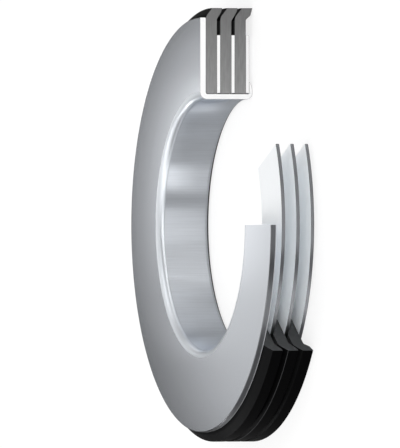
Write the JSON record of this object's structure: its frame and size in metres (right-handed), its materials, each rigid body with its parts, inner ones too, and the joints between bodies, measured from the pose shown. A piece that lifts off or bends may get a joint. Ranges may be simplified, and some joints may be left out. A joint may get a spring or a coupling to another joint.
{
  "type": "oil seal",
  "caption": "Ring-shaped shaft seal cut open in steps: a folded steel case on the shaft holds rubber lips with outward edges, thin steel rings between and behind them.",
  "frame": {"origin": "on the bore's axis, at the middle of the bore's straight wall", "axes": "+Z along the bore's axis, towards the flange's outer face; +Y towards the section, where every piece is cut; +X towards the side that is cut open in steps"},
  "size_m": [0.0759, 0.0776, 0.01],
  "materials": {
    "case_steel": "satin",
    "ring_steel": "satin",
    "lip_rubber": "satin"
  },
  "bodies": {
    "root": {"seal_case": "case_steel", "front_lip": "lip_rubber", "front_spacer": "ring_steel", "middle_lip": "lip_rubber", "rear_spacer": "ring_steel", "rear_lip": "lip_rubber", "clamp_ring": "ring_steel"}
  },
  "joints": []
}
